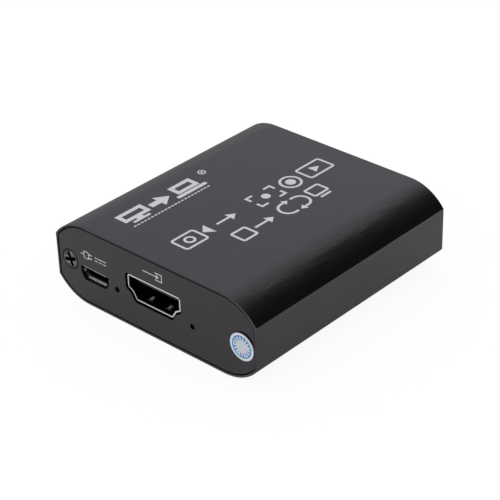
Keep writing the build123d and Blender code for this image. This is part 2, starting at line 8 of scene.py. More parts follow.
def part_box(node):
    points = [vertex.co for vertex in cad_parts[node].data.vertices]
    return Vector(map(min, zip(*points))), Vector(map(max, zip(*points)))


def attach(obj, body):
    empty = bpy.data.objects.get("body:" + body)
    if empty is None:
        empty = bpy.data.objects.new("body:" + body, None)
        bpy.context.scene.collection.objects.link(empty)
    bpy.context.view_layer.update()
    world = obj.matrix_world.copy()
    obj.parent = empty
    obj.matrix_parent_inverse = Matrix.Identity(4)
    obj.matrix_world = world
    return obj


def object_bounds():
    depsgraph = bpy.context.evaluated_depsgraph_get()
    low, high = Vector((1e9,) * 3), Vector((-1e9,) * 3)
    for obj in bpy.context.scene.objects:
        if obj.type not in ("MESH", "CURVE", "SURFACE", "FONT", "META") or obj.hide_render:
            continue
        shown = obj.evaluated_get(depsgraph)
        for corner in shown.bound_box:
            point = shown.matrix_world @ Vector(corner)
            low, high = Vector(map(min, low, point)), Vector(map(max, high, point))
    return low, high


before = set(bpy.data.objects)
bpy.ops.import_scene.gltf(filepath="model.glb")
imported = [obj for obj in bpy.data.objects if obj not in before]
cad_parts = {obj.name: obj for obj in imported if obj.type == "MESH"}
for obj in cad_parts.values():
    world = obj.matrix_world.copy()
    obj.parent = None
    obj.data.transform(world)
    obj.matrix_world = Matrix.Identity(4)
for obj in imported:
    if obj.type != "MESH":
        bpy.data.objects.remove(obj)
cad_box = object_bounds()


# The circuit board, glass fibre under green solder mask with white legends, cut to size by a router.
# It is made first, slid into the rails of the sleeve and held by the sockets' legs.

mm = 0.001


class Value:
    """One output of a surface's nodes, which Python's own signs add to, scale and compare."""

    def __init__(self, finish, socket):
        self.finish = finish
        self.socket = socket

    def __add__(self, other):
        return self.finish.maths("ADD", self, other)

    def __sub__(self, other):
        return self.finish.maths("SUBTRACT", self, other)

    def __rsub__(self, other):
        return self.finish.maths("SUBTRACT", other, self)

    def __mul__(self, other):
        return self.finish.maths("MULTIPLY", self, other)

    def __truediv__(self, other):
        return self.finish.maths("DIVIDE", self, other)

    def __abs__(self):
        return self.finish.maths("ABSOLUTE", self)

    def __gt__(self, other):
        return self.finish.maths("GREATER_THAN", self, other)

    def __lt__(self, other):
        return self.finish.maths("LESS_THAN", self, other)

    __radd__ = __add__
    __rmul__ = __mul__

    def fade(self, start, full):
        """0 up to start and 1 from full, with a smooth step between."""
        settings = {"interpolation_type": "SMOOTHSTEP"}
        return self.finish.node("MapRange", settings, {"Value": self, "From Min": start, "From Max": full})

    def band(self, start, full, end, gone):
        """0 up to start, 1 from full to end, and 0 again from gone."""
        return self.fade(start, full) * (1 - self.fade(end, gone))


class Finish:
    """The surface of a material, or of the world, built node by node."""

    def __init__(self, name, **constants):
        self.material = bpy.data.materials.new(name)
        self.material.use_nodes = True
        self.tree = self.material.node_tree
        self.shader = self.tree.nodes["Principled BSDF"]
        for socket, value in constants.items():
            self.shader.inputs[socket.replace("_", " ")].default_value = value

    def join(self, value, socket):
        """Link a value to a socket, or set the socket to a number, a colour or a place."""
        if isinstance(value, Value):
            self.tree.links.new(value.socket, socket)
        else:
            socket.default_value = value

    def node(self, kind, settings=(), inputs=(), output=0):
        """Any node: its settings, then the values or links of its sockets, and the output that is wanted."""
        made = self.tree.nodes.new("ShaderNode" + kind)
        for setting, value in dict(settings).items():
            setattr(made, setting, value)
        for socket, value in dict(inputs).items():
            self.join(value, made.inputs[socket])
        return Value(self, made.outputs[output])

    def maths(self, operation, *values):
        """One Math node, for plain numbers and for values that change over the surface."""
        return self.node("Math", {"operation": operation}, dict(enumerate(values)))

    def spot(self, centre=(0, 0, 0), stretch=(1, 1, 1)):
        """Object coordinates from a centre, stretched along each axis."""
        place = self.node("TexCoord", output="Object")
        shift = [-along * scale for along, scale in zip(centre, stretch)]
        return self.node("Mapping", inputs={"Vector": place, "Location": shift, "Scale": stretch})

    def parts(self, vector):
        """The three numbers of a vector."""
        made = self.node("SeparateXYZ", inputs={0: vector}).socket.node
        return [Value(self, socket) for socket in made.outputs]

    def axes(self, centre=(0, 0, 0)):
        """The three object coordinates on their own, in metres from a centre."""
        return self.parts(self.spot(centre))

    def noise(self, size, detail=2, stretch=(1, 1, 1), rough=0.5):
        """Cloudy value round 0.5, whose lumps are about this size in metres."""
        place = self.spot(stretch=stretch)
        inputs = {"Vector": place, "Scale": 1 / size, "Detail": detail, "Roughness": rough}
        return self.node("TexNoise", inputs=inputs)

    def mix(self, first, second, share):
        """Colour between two colours."""
        return self.node("Mix", {"data_type": "RGBA"}, {0: share, 6: first, 7: second}, output=2)

    def paint(self, colour, roughness=None, metallic=None, coat=None):
        """Colour, and roughness, metal and clear coat where they change over the surface."""
        given = {"Base Color": colour, "Roughness": roughness, "Metallic": metallic, "Coat Weight": coat}
        for socket, value in given.items():
            if value is not None:
                self.join(value, self.shader.inputs[socket])

    def bump(self, height, depth):
        """Relief of this depth in metres where height goes from 0 to 1."""
        relief = self.node("Bump", inputs={"Distance": depth, "Height": height})
        self.join(relief, self.shader.inputs["Normal"])

    def on(self, *pieces):
        """Give the surface to CAD nodes or to new pieces."""
        for piece in pieces:
            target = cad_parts[piece] if isinstance(piece, str) else piece
            if not target.data.materials:
                target.data.materials.append(None)
            for place in target.material_slots:
                place.material = self.material


def grey(level, warm=0.0):
    """Opaque grey, a little warmer or cooler than neutral."""
    return (level * (1 + warm), level, level * (1 - warm), 1)


def mottled(name, first, second, patch, grain, rough, spread, **constants):
    """Finish that drifts between two colours in patches, with a finer grain that spreads its roughness."""
    finish = Finish(name, **constants)
    finish.paint(finish.mix(first, second, finish.noise(patch)), rough + spread * finish.noise(grain))
    return finish


def keep_piece(name, mesh, finish, smooth=30):
    """Turn a finished bmesh into a piece that rides on the box and takes its finish from a slot."""
    data = bpy.data.meshes.new(name)
    mesh.to_mesh(data)
    mesh.free()
    data.shade_smooth()
    piece = bpy.data.objects.new(name, data)
    bpy.context.scene.collection.objects.link(piece)
    data.set_sharp_from_angle(angle=math.radians(smooth))
    finish.on(piece)
    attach(piece, "box")


class Ink:
    """Flat printed shapes. u runs along the reading direction and w up from the line, both in mm."""

    def __init__(self):
        self.mesh = bmesh.new()

    def add(self, shape, u, w, turn, stroke=0):
        """Keep a shape at (u, w), turned by degrees, as its outline alone where a stroke is given."""
        if stroke:
            inside = shape.faces[:]
            bmesh.ops.inset_region(
                shape, faces=inside, thickness=stroke, use_even_offset=True, use_boundary=True,
            )
            bmesh.ops.delete(shape, geom=inside, context="FACES_ONLY")
        place = Matrix.Translation((u, w, 0)) @ Matrix.Rotation(math.radians(turn), 4, "Z")
        bmesh.ops.transform(shape, matrix=place, verts=shape.verts)
        part = bpy.data.meshes.new("ink_part")
        shape.to_mesh(part)
        shape.free()
        self.mesh.from_mesh(part)
        bpy.data.meshes.remove(part)

    def bar(self, u, w, length, height, corner=0, stroke=0, turn=0):
        """Rectangle round (u, w), with rounded corners, filled or drawn with a stroke."""
        shape = bmesh.new()
        bmesh.ops.create_grid(shape, x_segments=1, y_segments=1, size=0.5)
        bmesh.ops.scale(shape, vec=(length, height, 1), verts=shape.verts)
        if corner:
            bmesh.ops.bevel(
                shape, geom=shape.verts[:], offset=corner, segments=5, profile=0.5, affect="VERTICES",
                material=-1,
            )
        self.add(shape, u, w, turn, stroke)

    def disc(self, u, w, radius, stroke=0):
        """Disc or ring round (u, w)."""
        shape = bmesh.new()
        bmesh.ops.create_circle(shape, cap_ends=True, segments=40, radius=radius)
        self.add(shape, u, w, 0, stroke)

    def wedge(self, u, w, length, height, turn=0):
        """Filled triangle with the middle of its base at (u, w) and its point a length along u."""
        shape = bmesh.new()
        base = [shape.verts.new((0, side * height / 2, 0)) for side in (-1, 1)]
        shape.faces.new([base[0], shape.verts.new((length, 0, 0)), base[1]])
        self.add(shape, u, w, turn)

    def arc(self, u, w, radius, stroke, start, end):
        """Curved stroke round (u, w) between two bearings in degrees."""
        shape = bmesh.new()
        ends = [shape.verts.new((radius + side * stroke / 2, 0, 0)) for side in (-1, 1)]
        edge = shape.edges.new(ends)
        bmesh.ops.spin(
            shape, geom=ends + [edge], cent=(0, 0, 0), axis=(0, 0, 1), angle=math.radians(end - start),
            steps=16,
        )
        self.add(shape, u, w, start)

    def arrow(self, u, w, length, head, stroke, turn=0):
        """Arrow whose shaft and head lie along u, from its tail at (u, w)."""
        place = Matrix.Translation((u, w, 0)) @ Matrix.Rotation(math.radians(turn), 4, "Z")
        head_length = head * 0.7
        shaft_length = length - head_length
        shaft = place @ Vector((shaft_length / 2, 0, 0))
        base = place @ Vector((shaft_length, 0, 0))
        self.bar(shaft.x, shaft.y, shaft_length, stroke, turn=turn)
        self.wedge(base.x, base.y, head_length, head, turn)

    def done(self, name, place, thickness, finish, slot):
        """Give the ink its thickness, put it on its face and keep it."""
        self.mesh.normal_update()
        for face in self.mesh.faces:
            if face.normal.z < 0:
                face.normal_flip()
        self.mesh.normal_update()
        bmesh.ops.solidify(self.mesh, geom=self.mesh.faces[:], thickness=thickness)
        low = min(v.co.z for v in self.mesh.verts)
        bmesh.ops.translate(self.mesh, vec=(0, 0, -low), verts=self.mesh.verts)
        bmesh.ops.transform(self.mesh, matrix=place @ Matrix.Scale(mm, 4), verts=self.mesh.verts)
        keep_piece(name, self.mesh, finish)


def face_plane(origin, along, out):
    """Where a print lies: its origin in mm, its reading direction and the way it faces."""
    u = Vector(along)
    n = Vector(out)
    w = n.cross(u)
    turn = Matrix((u, w, n)).transposed().to_4x4()
    return Matrix.Translation(Vector(origin) * mm) @ turn


board_low, board_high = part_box("circuit_board")
mask_green = (0.006, 0.07, 0.03, 1)
mask_on_copper = (0.012, 0.12, 0.05, 1)
bare_laminate = (0.35, 0.27, 0.12, 1)
track_pitch = 0.55 * mm
track_field = 9 * mm
track_relief = 0.02 * mm
cut_skin = 0.02 * mm
solder_mask = Finish("green_solder_mask", IOR=1.5, Coat_Roughness=0.12)
x, y, _ = solder_mask.axes()


def track_lines(place):
    """1 on copper tracks that lie side by side at an even pitch, and 0 between them."""
    return abs(solder_mask.maths("FRACT", place / track_pitch) - 0.5).fade(0.22, 0.28)


lengthwise = solder_mask.noise(track_field, detail=0) > 0.5
tracks = lengthwise * track_lines(x) + (1 - lengthwise) * track_lines(y)
routed = (abs(x) > board_high.x - cut_skin) + (abs(y) > board_high.y - cut_skin)
mask_colour = solder_mask.mix(mask_green, mask_on_copper, tracks)
mask_colour = solder_mask.mix(mask_colour, bare_laminate, routed)
mask_roughness = 0.3 + 0.2 * solder_mask.noise(0.8 * mm) + 0.3 * routed
solder_mask.paint(mask_colour, mask_roughness, coat=0.4 * (1 - routed))
solder_mask.bump(tracks, track_relief)
solder_mask.on("circuit_board")

legend_ink = mottled(
    "white_legend_ink", grey(0.62), grey(0.8), patch=0.6 * mm, grain=0.3 * mm, rough=0.5, spread=0.2,
)
legend_line = 0.18
legend_gap = 0.6
legend_thickness = 0.02
dot_offset = 1.4 * legend_gap
arrow_start = 2.6
legends = Ink()
for node in ("capture_chip", "splitter_chip", "memory_chip", "power_inductor", "power_fuse"):
    low, high = (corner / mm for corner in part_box(node))
    middle = (low + high) / 2
    length, height = high.x - low.x + 2 * legend_gap, high.y - low.y + 2 * legend_gap
    legends.bar(middle.x, middle.y, length, height, corner=0.4, stroke=legend_line)
    legends.disc(low.x - dot_offset, high.y + dot_offset, radius=0.3)
for node, inwards in (("input_shell", 1), ("power_shell", 1), ("loop_shell", -1), ("data_shell", -1)):
    low, high = (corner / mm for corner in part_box(node))
    tail = (high.y if inwards > 0 else low.y) + inwards * arrow_start
    legends.arrow((low.x + high.x) / 2, tail, length=1.8, head=1.0, stroke=legend_line, turn=90 * inwards)
board_face = face_plane((0, 0, board_high.z / mm), (1, 0, 0), (0, 0, 1))
legends.done("board_legends", board_face, legend_thickness, legend_ink, "board_laminate")


# The small two-ended parts: fired ceramic capacitors, film resistors, surge arrays and a fuse.
# Each has tinned ends, and a reflow oven fixes it to its pads with a small fillet of solder.

tin = mottled(
    "bright_tin", grey(0.62, 0.02), grey(0.74, 0.01), patch=0.5 * mm, grain=0.2 * mm, rough=0.24,
    spread=0.16, Metallic=1.0,
)
tin.bump(tin.noise(0.3 * mm), 0.006 * mm)

fired = mottled(
    "tan_ceramic", (0.30, 0.19, 0.10, 1), (0.42, 0.29, 0.17, 1), patch=0.4 * mm, grain=0.2 * mm,
    rough=0.45, spread=0.2,
)
fired.bump(fired.noise(0.2 * mm), 0.004 * mm)
fired.on("bulk_capacitors", "small_capacitors")

glaze = mottled(
    "black_resistor_glaze", grey(0.012), grey(0.022), patch=0.4 * mm, grain=0.2 * mm, rough=0.3,
    spread=0.2, Coat_Roughness=0.1, Coat_Weight=0.5,
)
glaze.on("resistors")

array_body = mottled(
    "grey_array_ceramic", grey(0.22), grey(0.3), patch=0.3 * mm, grain=0.2 * mm, rough=0.5, spread=0.2,
)
array_body.on("surge_protectors")

fuse_laminate = mottled(
    "fuse_laminate", (0.02, 0.06, 0.035, 1), (0.04, 0.09, 0.05, 1), patch=0.5 * mm, grain=0.2 * mm,
    rough=0.45, spread=0.2,
)
fuse_laminate.on("power_fuse")


def solid_boxes(node):
    """Lowest and highest corners of each separate solid of a CAD node, in metres."""
    copy = bmesh.new()
    copy.from_mesh(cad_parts[node].data)
    bmesh.ops.remove_doubles(copy, verts=copy.verts, dist=0.001 * mm)
    left = set(copy.verts)
    boxes = []
    while left:
        reached = {left.pop()}
        newest = list(reached)
        while newest:
            near = {e.other_vert(v) for v in newest for e in v.link_edges} - reached
            reached |= near
            newest = list(near)
        left -= reached
        boxes.append([
            Vector(pick(v.co[axis] for v in reached) for axis in range(3)) for pick in (min, max)
        ])
    copy.free()
    return sorted(boxes, key=lambda box: tuple(box[0]))


def add_cap(mesh, low, high, edge):
    """Block of tin between two corners, with its edges broken."""
    made = bmesh.ops.create_cube(mesh, size=1)["verts"]
    bmesh.ops.scale(mesh, vec=high - low, verts=made)
    bmesh.ops.translate(mesh, vec=(low + high) / 2, verts=made)
    edges = list(dict.fromkeys(e for v in made for e in v.link_edges))
    bmesh.ops.bevel(
        mesh, geom=edges, offset=edge, segments=2, profile=0.5, affect="EDGES", material=-1,
    )


fillet_share = 0.55
fillet_most = 0.5 * mm
fillet_reach = 0.3 * mm
fillet_width = 0.96
fillet_fall = 0.85
fillet_sag = 0.14


def add_fillet(mesh, centre, size, long, end):
    """Solder that stands highest at a part's end and falls to the pad in a hollow curve."""
    made = bmesh.ops.create_cube(mesh, size=1)["verts"]
    bmesh.ops.scale(mesh, vec=size, verts=made)
    bmesh.ops.translate(mesh, vec=centre, verts=made)
    outer = [v for v in made if end * (v.co[long] - centre[long]) > 0 and v.co.z > centre.z]
    bmesh.ops.translate(mesh, vec=(0, 0, -fillet_fall * size.z), verts=outer)
    slope = [
        e for e in dict.fromkeys(e for v in outer for e in v.link_edges)
        if len(set(e.verts) & set(outer)) == 1 and max(v.co.z for v in e.verts) > centre.z
    ]
    cut = bmesh.ops.subdivide_edges(mesh, edges=slope, cuts=2)
    hollow = [v for v in cut["geom_inner"] if isinstance(v, bmesh.types.BMVert)]
    bmesh.ops.translate(mesh, vec=(0, 0, -fillet_sag * size.z), verts=hollow)


cap_skin = 0.012 * mm
cap_reach = 0.31 * mm
cap_edge = 0.03 * mm
caps = bmesh.new()
fillets = bmesh.new()
for node in ("bulk_capacitors", "small_capacitors", "resistors", "surge_protectors", "power_fuse"):
    for low, high in solid_boxes(node):
        long = 0 if high.x - low.x > high.y - low.y else 1
        for end, face in ((-1, low[long]), (1, high[long])):
            cap_low = low - Vector((cap_skin, cap_skin, 0))
            cap_high = high + Vector((cap_skin, cap_skin, cap_skin))
            if end > 0:
                cap_low[long] = face - cap_reach
            else:
                cap_high[long] = face + cap_reach
            add_cap(caps, cap_low, cap_high, cap_edge)
            size = Vector((0, 0, min(fillet_share * (high.z - low.z), fillet_most)))
            size[long] = fillet_reach
            size[1 - long] = fillet_width * (high - low)[1 - long]
            centre = (low + high) / 2
            centre.z = board_high.z + size.z / 2
            centre[long] = face + end * (fillet_reach + cap_skin) / 2
            add_fillet(fillets, centre, size, long, end)
keep_piece("tinned_ends", caps, tin)


# The packaged parts: chips and regulators moulded in black resin on tinned leads, two crystals in
# drawn metal cans, and a coil wound round a ferrite core. They are placed and soldered with the rest.

def resin_finish(node):
    """Finish of moulded resin, and its colour and roughness before its leads are added."""
    finish = Finish(node + "_resin")
    finish.bump(finish.noise(0.12 * mm, detail=3), 0.006 * mm)
    colour = finish.mix(grey(0.014), grey(0.024), finish.noise(0.9 * mm))
    return finish, colour, 0.5 + 0.22 * finish.noise(0.15 * mm)


def add_leads(finish, colour, roughness, lead):
    """Paint the resin, and smooth tinned metal where lead is 1."""
    finish.paint(finish.mix(colour, grey(0.6, 0.02), lead), roughness - 0.2 * lead, metallic=lead)


pad_pitch = 0.5 * mm
pad_top = 0.2 * mm
bare_corner = 0.6 * mm
for node in ("capture_chip", "splitter_chip"):
    low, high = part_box(node)
    resin, colour, roughness = resin_finish(node)
    x, y, z = resin.axes(centre=((low.x + high.x) / 2, (low.y + high.y) / 2, 0))
    row = resin.maths("MINIMUM", abs(x), abs(y))
    pad = abs(resin.maths("FRACT", row / pad_pitch) - 0.5) < 0.25
    pad = pad * (z < low.z + pad_top) * (row < (high.x - low.x) / 2 - bare_corner)
    add_leads(resin, colour, roughness, pad)
    resin.on(node)

for node, half_body in (("memory_chip", 1.96 * mm), ("voltage_regulators", 0.81 * mm)):
    resin, colour, roughness = resin_finish(node)
    x, _, _ = resin.axes()
    body = sum(abs(x - (low.x + high.x) / 2) < half_body for low, high in solid_boxes(node))
    add_leads(resin, colour, roughness, 1 - body)
    resin.on(node)

can = mottled(
    "drawn_nickel_can", grey(0.55, 0.02), grey(0.66, 0.02), patch=0.8 * mm, grain=0.3 * mm, rough=0.26,
    spread=0.14, Metallic=1.0,
)
can.bump(can.noise(0.4 * mm), 0.004 * mm)
can.on("clock_crystals")

ferrite = mottled(
    "pressed_ferrite", grey(0.03), grey(0.055), patch=0.4 * mm, grain=0.2 * mm, rough=0.6, spread=0.2,
)
ferrite.bump(ferrite.noise(0.15 * mm, detail=3), 0.01 * mm)
ferrite.on("power_inductor")


# The sockets: stamped, nickel plated steel shells round black plastic tongues that carry gold contacts.
# Legs through the board are soldered under it, and the shells reach through the end plates.

cut_face = (29.5 * mm, 29.57 * mm)
brush_size = 0.12 * mm
brush_stretch = (1, 0.12, 1)
metal_relief = 0.004 * mm


def shell_finish(node, mouth_height, inner_shade):
    """Brushed nickel, with painted shade on the walls that face into the mouth; its colour, its roughness,
    and its axes from the mouth.
    """
    low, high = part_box(node)
    finish = Finish(node + "_nickel", Metallic=1.0)
    x, y, z = finish.axes(centre=((low.x + high.x) / 2, 0, high.z - mouth_height / 2))
    normal_x, _, normal_z = finish.parts(finish.node("NewGeometry", output="Normal"))
    # Walls that face into the mouth are painted dark as shade.
    inwards = (x * normal_x + z * normal_z < 0) * (z > -0.51 * mouth_height)
    brushed = finish.noise(brush_size, detail=3, stretch=brush_stretch)
    colour = finish.mix(grey(0.46, 0.03), grey(0.598, 0.03), finish.noise(1.6 * mm))
    colour = finish.mix(colour, grey(inner_shade, 0.02), inwards)
    finish.bump(brushed, metal_relief)
    finish.on(node)
    return finish, colour, 0.26 + 0.2 * brushed, (x, y, z)


def line_depth(x, z, start, end):
    """How far a point lies inside the line between two corners of a mouth, in metres."""
    run, rise = end[0] - start[0], end[1] - start[1]
    length = math.hypot(run, rise)
    return (z - start[1]) * (-run / length) + (abs(x) - start[0]) * (rise / length)


video_mouth = 5.6 * mm
video_half_width = 7.5 * mm
video_corners = ((7.5 * mm, -0.35 * mm), (6.25 * mm, -1.05 * mm), (5.15 * mm, -2.8 * mm))
mouth_highlight_line = (0.26 * mm, 0.31 * mm)
for node in ("input_shell", "loop_shell"):
    nickel, colour, roughness, (x, y, z) = shell_finish(node, video_mouth, inner_shade=0.03)
    upper_bend = line_depth(x, z, *video_corners[:2])
    lower_bend = line_depth(x, z, *video_corners[1:])
    sides = nickel.maths("MINIMUM", video_half_width - abs(x), video_mouth / 2 - abs(z))
    depth = nickel.maths("MINIMUM", sides, nickel.maths("MAXIMUM", upper_bend, lower_bend))
    # The cut face at the mouth is painted dark as shade, and a line within about 0.3 mm of the mouth's
    # outline is painted bright as a highlight.
    shaded_cut_face = abs(y).fade(*cut_face)
    mouth_highlight = shaded_cut_face * (1 - depth.fade(*mouth_highlight_line))
    colour = nickel.mix(colour, grey(0.05, 0.08), shaded_cut_face)
    nickel.paint(nickel.mix(colour, (0.78, 0.78, 0.73, 1), mouth_highlight), roughness)

data_mouth = 5.75 * mm
nickel, colour, roughness, (_, y, _) = shell_finish("data_shell", data_mouth, inner_shade=0.03)
nickel.paint(nickel.mix(colour, grey(0.6, 0.04), abs(y).fade(*cut_face)), roughness)

power_mouth = 2.3 * mm
dark_mouth = -28.8 * mm
tooth_pitch = 0.5 * mm
tooth_flank = (0.25, 0.42)
lip_rows = (-1.7 * mm, -1.6 * mm, -1.32 * mm, -1.15 * mm)
lip_middle = -0.1 * mm
lip_half_width = (2.5 * mm, 2.8 * mm)
end_half_height = (0.18 * mm, 0.36 * mm)
end_start = (3.65 * mm, 3.75 * mm)
lip_highlight_grey = (0.52, 0.51, 0.44, 1)
nickel, colour, roughness, (x, y, z) = shell_finish("power_shell", power_mouth, inner_shade=0.01)
# The front of the power shell is painted near black as shade.
shaded_mouth = y < dark_mouth
# Painted highlight on the lower lip, broken by darker notches at the tooth pitch.
notch = abs(nickel.maths("FRACT", x / tooth_pitch) - 0.5).fade(*tooth_flank)
lip = shaded_mouth * z.band(*lip_rows) * (1 - abs(x - lip_middle).fade(*lip_half_width)) * (1 - 0.6 * notch)
# Painted glints at both ends of the mouth.
end_glints = shaded_mouth * (1 - abs(z).fade(*end_half_height)) * abs(x).fade(*end_start)
colour = nickel.mix(nickel.mix(colour, grey(0.02), shaded_mouth), lip_highlight_grey, lip)
nickel.paint(nickel.mix(colour, grey(0.6), end_glints), roughness)

finger_width = 1.8 * mm
crest_rows = (26.9 * mm, 27.5 * mm, 27.9 * mm, 28.5 * mm)
crest_highlight_half_width = (0.05 * mm, 0.6 * mm)
for node in [f"{place}_{wall}_springs" for place in ("input", "loop", "data") for wall in ("lower", "upper")]:
    low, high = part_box(node)
    shaded_spring = Finish(node + "_shaded_spring")
    x, y, _ = shaded_spring.axes(centre=((low.x + high.x) / 2, 0, 0))
    # The fingers are painted dark as shade, and a band along the fingers' middles between the crest rows is
    # painted bright as a highlight.
    off_middle = abs(abs(x) - ((high.x - low.x) - finger_width) / 2)
    crest_highlight = (1 - off_middle.fade(*crest_highlight_half_width)) * abs(y).band(*crest_rows)
    brushed = shaded_spring.noise(brush_size, detail=3, stretch=brush_stretch)
    colour = shaded_spring.mix(grey(0.03, 0.02), grey(0.05, 0.02), shaded_spring.noise(0.8 * mm))
    shaded_spring.paint(shaded_spring.mix(colour, grey(0.4, 0.05), crest_highlight), 0.3 + 0.2 * brushed, metallic=1 - 0.9 * crest_highlight)
    shaded_spring.bump(brushed, metal_relief)
    shaded_spring.on(node)

tongue_height = 10.5 * mm
tongue_front = (28.1 * mm, 28.2 * mm)
edge_half_height = (0.08 * mm, 0.16 * mm)
moulding = Finish("black_socket_moulding")
_, y, z = moulding.axes()
# A thin band along the front of the tongues, 10.5 mm up, is painted light as a highlight.
tongue_edge_highlight = abs(y).fade(*tongue_front) * (1 - abs(z - tongue_height).fade(*edge_half_height))
moulding_colour = moulding.mix(grey(0.006, 0.06), grey(0.012, 0.04), moulding.noise(1.2 * mm))
moulding_colour = moulding.mix(moulding_colour, (0.16, 0.15, 0.11, 1), tongue_edge_highlight)
moulding_grain = moulding.noise(0.2 * mm)
moulding.paint(moulding_colour, 0.42 + 0.2 * moulding_grain)
moulding.bump(moulding_grain, 0.004 * mm)
moulding.on("input_insulator", "loop_insulator", "power_insulator", "data_insulator")

gold = mottled(
    "flashed_gold", (0.75, 0.5, 0.16, 1), (0.88, 0.66, 0.28, 1), patch=0.6 * mm, grain=0.2 * mm,
    rough=0.2, spread=0.16, Metallic=1.0,
)
gold.on("input_contacts", "loop_contacts", "power_contacts", "data_contacts")

leg_end = 4.56 * mm
leg_spacing = 3 * mm
joint_height = 0.34 * mm
joint_foot = 1.15 * mm
joint_tip = 0.55 * mm
for node in ("input_shell", "loop_shell", "power_shell", "data_shell"):
    legs = {}
    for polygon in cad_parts[node].data.polygons:
        centre = polygon.center.copy()
        if centre.z < leg_end:
            leg = (round(centre.x / mm), round(centre.y / leg_spacing))
            legs.setdefault(leg, []).append(centre)
    for centres in legs.values():
        middle = sum(centres, Vector()) / len(centres)
        middle.z = board_low.z - joint_height / 2
        place = Matrix.Translation(middle) @ Matrix.Rotation(math.pi, 4, "X")
        bmesh.ops.create_cone(
            fillets, cap_ends=True, segments=20, radius1=joint_foot, radius2=joint_tip,
            depth=joint_height, matrix=place,
        )
keep_piece("solder_joints", fillets, tin, smooth=50)


# The two indicator lamps, cast in clear resin on a milky base and soldered behind their holes
# in the front plate.

lens_back = (-28.2 * mm, -28.0 * mm)
lamp_resin = Finish("clear_lamp_resin", IOR=1.52, Subsurface_Weight=0.15, Subsurface_Scale=0.6 * mm)
_, y, _ = lamp_resin.axes()
lens = 1 - y.fade(*lens_back)
lamp_colour = lamp_resin.mix((0.72, 0.7, 0.6, 1), (0.82, 0.8, 0.72, 1), lamp_resin.noise(0.6 * mm))
lamp_resin.paint(lamp_colour, 0.4 - 0.26 * lens)
lamp_resin.on("power_light", "signal_light")


# The sleeve, one length of extruded aluminium, sawn and turned clean at both ends, blasted and
# anodised black. Its grooves hold the board and its bosses take the plates' screws. The print on its
# top is one pass of pale ink through a screen.

half_width = cad_box[1].x
middle_height = cad_box[1].z / 2
shoulder_start = 19.5 * mm
shoulder_drop = 1.75 * mm
shoulder_radius = 11.25 * mm
black_dye = grey(0.0016)
worn_dye = grey(0.0038)
sawn_dye = grey(0.012)
rim_light_grey = grey(0.045)
deep_shade = grey(0.002)
sawn_end = (29.9 * mm, 29.97 * mm)
seam_edge = (0.3 * mm, 0.36 * mm)
left_side = -27.9 * mm
sleeve_relief = 0.06 * mm


def slant(finish, across, up):
    """Length of a straight line that goes this far across and this far up."""
    return finish.maths("SQRT", across * across + up * up)


def wall_depth(finish, x, z):
    """How deep a point lies under the outside of the sleeve's section, in metres."""
    past = finish.maths("MAXIMUM", abs(x) - shoulder_start, 0.0)
    bend = shoulder_radius - slant(finish, past, abs(z - middle_height) + shoulder_drop)
    return finish.maths("MINIMUM", bend, half_width - abs(x))


anodised = Finish("black_anodised_sleeve", IOR=1.5)
x, y, z = anodised.axes()
blasted = anodised.noise(0.18 * mm, detail=3, rough=0.6)
cloud = anodised.noise(6 * mm, detail=3)
die_line = anodised.noise(0.5 * mm, stretch=(1, 0.02, 1))
sleeve_colour = anodised.mix(black_dye, worn_dye, 0.5 * blasted + 0.3 * cloud + 0.2 * die_line)

sawn = abs(y).fade(*sawn_end)
seam_shade = sawn * wall_depth(anodised, x, z).fade(*seam_edge) * z.fade(15 * mm, 17 * mm)
# On the sawn ends, the front rim's upper right and both rims' bottom bands are painted paler as highlight,
# and the rim's left flat is painted near black as shade.
rim_highlight = x.fade(19 * mm, 24 * mm) * (y < 0) * z.fade(13 * mm, 15.5 * mm)
left_rim_shade = (x < left_side) * z.fade(3 * mm, 4 * mm)
rim_colour = anodised.mix(sawn_dye, rim_light_grey, rim_highlight)
rim_colour = anodised.mix(rim_light_grey, rim_colour, z.fade(2 * mm, 4 * mm))
rim_colour = anodised.mix(rim_colour, deep_shade, left_rim_shade)
sleeve_colour = anodised.mix(anodised.mix(sleeve_colour, rim_colour, sawn), grey(0.003), seam_shade)
anodised.paint(sleeve_colour, 0.22 + 0.05 * blasted + 0.04 * cloud, metallic=seam_shade)

grit = 0.35 + 0.85 * abs(x).fade(20 * mm, 22 * mm)
drawn = anodised.noise(1.4 * mm, detail=3, stretch=(1, 0.16, 1), rough=0.6)
wave = anodised.noise(7 * mm, detail=1, stretch=(1, 0.35, 1))
on_shoulder = abs(x).fade(19 * mm, 22 * mm) * abs(z - middle_height).fade(4 * mm, 6 * mm)
ripple = anodised.noise(2.6 * mm, detail=3, stretch=(1, 0.4, 1), rough=0.6) * on_shoulder
fine_relief = 0.1 * grit * (0.7 * blasted + 0.3 * die_line)
anodised.bump(fine_relief + drawn + 3 * wave + 1.8 * ripple, sleeve_relief)
anodised.on("housing_sleeve")

pale_ink = Finish("pale_screen_ink")
ink_colour = pale_ink.mix(
    (0.6, 0.595, 0.625, 1), (0.735, 0.73, 0.765, 1), pale_ink.noise(0.9 * mm, detail=3),
)
pale_ink.paint(ink_colour, 0.42 + 0.2 * pale_ink.noise(0.2 * mm))
pale_ink.bump(pale_ink.noise(0.15 * mm), 0.003 * mm)
ink_thickness = 0.01
case_top = cad_box[1].z / mm


def top_print(name, line, draw):
    """Print on the top, read from the right side of the box. line is how far right its foot lies, in mm."""
    ink = Ink()
    draw(ink)
    top_face = face_plane((line, 0, case_top), (0, 1, 0), (0, 0, 1))
    ink.done(name, top_face, ink_thickness, pale_ink, "case_black")


